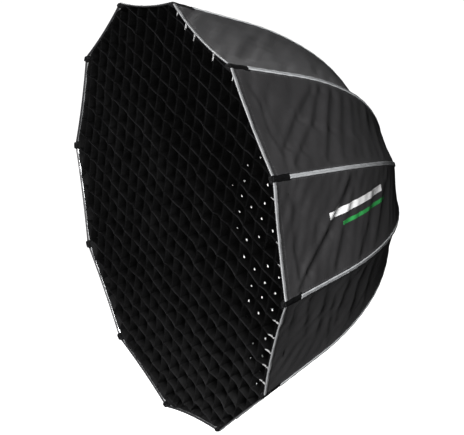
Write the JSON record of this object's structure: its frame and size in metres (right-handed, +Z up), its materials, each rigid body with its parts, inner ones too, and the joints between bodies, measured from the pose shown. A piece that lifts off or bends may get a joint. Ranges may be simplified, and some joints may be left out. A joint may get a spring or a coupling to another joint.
{
  "type": "octabox",
  "caption": "Deep folding softbox: a many-sided fabric canopy on hinged ribs around a bayonet speedring, with a front diffuser and an egg-crate grid.",
  "frame": {"origin": "centre of the bayonet ring's seat face, which meets the light", "axes": "-Y along the axis, out of the opening; +Y towards the light that holds it; +Z up, across two flat sides of the rim"},
  "size_m": [1.171, 0.7083, 1.171],
  "materials": {
    "canopy_fabric": "woven polyester with a satin face",
    "pocket_webbing": "matt black webbing",
    "grid_fabric": "black woven cloth strips",
    "diffuser_fabric": "white translucent cloth",
    "silver_lining": "silver coated cloth",
    "reflective_tape": "light grey binding tape",
    "stripe_print": "plain printed stripe",
    "rod_fibreglass": "pultruded fibreglass",
    "ring_metal": "black powder coat",
    "arm_metal": "satin anodised",
    "bayonet_steel": "plated steel",
    "pin_steel": "ground steel",
    "spring_steel": "blued spring steel",
    "screw_steel": "zinc plated"
  },
  "bodies": {
    "speedring": {"speedring": "ring_metal", "bayonet_ring": "bayonet_steel", "mount_screws": "screw_steel", "hinge_pins": "pin_steel", "detent_plate": "spring_steel", "detent_rivets": "pin_steel", "rear_collar": "pocket_webbing"},
    "rib_01": {"rib_arm_01": "arm_metal", "rib_rod_01": "rod_fibreglass", "rod_pocket_01": "pocket_webbing", "gore_01": "canopy_fabric"},
    "rib_02": {"rib_arm_02": "arm_metal", "rib_rod_02": "rod_fibreglass", "rod_pocket_02": "pocket_webbing", "gore_02": "canopy_fabric"},
    "rib_03": {"rib_arm_03": "arm_metal", "rib_rod_03": "rod_fibreglass", "rod_pocket_03": "pocket_webbing", "gore_03": "canopy_fabric"},
    "rib_04": {"rib_arm_04": "arm_metal", "rib_rod_04": "rod_fibreglass", "rod_pocket_04": "pocket_webbing", "gore_04": "canopy_fabric"},
    "rib_05": {"rib_arm_05": "arm_metal", "rib_rod_05": "rod_fibreglass", "rod_pocket_05": "pocket_webbing", "gore_05": "canopy_fabric"},
    "rib_06": {"rib_arm_06": "arm_metal", "rib_rod_06": "rod_fibreglass", "rod_pocket_06": "pocket_webbing", "gore_06": "canopy_fabric"},
    "rib_07": {"rib_arm_07": "arm_metal", "rib_rod_07": "rod_fibreglass", "rod_pocket_07": "pocket_webbing", "gore_07": "canopy_fabric"},
    "rib_08": {"rib_arm_08": "arm_metal", "rib_rod_08": "rod_fibreglass", "rod_pocket_08": "pocket_webbing", "gore_08": "canopy_fabric"},
    "rib_09": {"rib_arm_09": "arm_metal", "rib_rod_09": "rod_fibreglass", "rod_pocket_09": "pocket_webbing", "gore_09": "canopy_fabric"},
    "rib_10": {"rib_arm_10": "arm_metal", "rib_rod_10": "rod_fibreglass", "rod_pocket_10": "pocket_webbing", "gore_10": "canopy_fabric"},
    "rib_11": {"rib_arm_11": "arm_metal", "rib_rod_11": "rod_fibreglass", "rod_pocket_11": "pocket_webbing", "gore_11": "canopy_fabric"},
    "rib_12": {"rib_arm_12": "arm_metal", "rib_rod_12": "rod_fibreglass", "rod_pocket_12": "pocket_webbing", "gore_12": "canopy_fabric"},
    "front_diffuser": {"front_diffuser": "diffuser_fabric"},
    "grid": {"grid": "grid_fabric"}
  },
  "joints": [
    {"name": "fold_01", "type": "hinge", "parent": "speedring", "child": "rib_01", "pos_m": [0.06375, -0.019, 0.01708], "axis": [0.2588, 0, -0.9659], "range_deg": [0, 36], "deforming": ["gore_01", "grid", "front_diffuser"]},
    {"name": "fold_02", "type": "hinge", "parent": "speedring", "child": "rib_02", "pos_m": [0.04667, -0.019, 0.04667], "axis": [0.7071, 0, -0.7071], "range_deg": [0, 36], "deforming": ["gore_02"]},
    {"name": "fold_03", "type": "hinge", "parent": "speedring", "child": "rib_03", "pos_m": [0.01708, -0.019, 0.06375], "axis": [0.9659, 0, -0.2588], "range_deg": [0, 36], "deforming": ["gore_03"]},
    {"name": "fold_04", "type": "hinge", "parent": "speedring", "child": "rib_04", "pos_m": [-0.01708, -0.019, 0.06375], "axis": [0.9659, 0, 0.2588], "range_deg": [0, 36], "deforming": ["gore_04"]},
    {"name": "fold_05", "type": "hinge", "parent": "speedring", "child": "rib_05", "pos_m": [-0.04667, -0.019, 0.04667], "axis": [0.7071, 0, 0.7071], "range_deg": [0, 36], "deforming": ["gore_05"]},
    {"name": "fold_06", "type": "hinge", "parent": "speedring", "child": "rib_06", "pos_m": [-0.06375, -0.019, 0.01708], "axis": [0.2588, 0, 0.9659], "range_deg": [0, 36], "deforming": ["gore_06"]},
    {"name": "fold_07", "type": "hinge", "parent": "speedring", "child": "rib_07", "pos_m": [-0.06375, -0.019, -0.01708], "axis": [-0.2588, 0, 0.9659], "range_deg": [0, 36], "deforming": ["gore_07"]},
    {"name": "fold_08", "type": "hinge", "parent": "speedring", "child": "rib_08", "pos_m": [-0.04667, -0.019, -0.04667], "axis": [-0.7071, 0, 0.7071], "range_deg": [0, 36], "deforming": ["gore_08"]},
    {"name": "fold_09", "type": "hinge", "parent": "speedring", "child": "rib_09", "pos_m": [-0.01708, -0.019, -0.06375], "axis": [-0.9659, 0, 0.2588], "range_deg": [0, 36], "deforming": ["gore_09"]},
    {"name": "fold_10", "type": "hinge", "parent": "speedring", "child": "rib_10", "pos_m": [0.01708, -0.019, -0.06375], "axis": [-0.9659, 0, -0.2588], "range_deg": [0, 36], "deforming": ["gore_10"]},
    {"name": "fold_11", "type": "hinge", "parent": "speedring", "child": "rib_11", "pos_m": [0.04667, -0.019, -0.04667], "axis": [-0.7071, 0, -0.7071], "range_deg": [0, 36], "deforming": ["gore_11"]},
    {"name": "fold_12", "type": "hinge", "parent": "speedring", "child": "rib_12", "pos_m": [0.06375, -0.019, -0.01708], "axis": [-0.2588, 0, -0.9659], "range_deg": [0, 36], "deforming": ["gore_12"]},
    {"name": "diffuser_off", "type": "slide", "parent": "speedring", "child": "front_diffuser", "axis": [0, -1, 0], "range_m": [0, 0.2]},
    {"name": "grid_off", "type": "slide", "parent": "front_diffuser", "child": "grid", "axis": [0, -1, 0], "range_m": [0, 0.12]}
  ],
  "couplings": [
    {"joint": "fold_02", "follows": "fold_01", "ratio": 1},
    {"joint": "fold_03", "follows": "fold_01", "ratio": 1},
    {"joint": "fold_04", "follows": "fold_01", "ratio": 1},
    {"joint": "fold_05", "follows": "fold_01", "ratio": 1},
    {"joint": "fold_06", "follows": "fold_01", "ratio": 1},
    {"joint": "fold_07", "follows": "fold_01", "ratio": 1},
    {"joint": "fold_08", "follows": "fold_01", "ratio": 1},
    {"joint": "fold_09", "follows": "fold_01", "ratio": 1},
    {"joint": "fold_10", "follows": "fold_01", "ratio": 1},
    {"joint": "fold_11", "follows": "fold_01", "ratio": 1},
    {"joint": "fold_12", "follows": "fold_01", "ratio": 1}
  ]
}
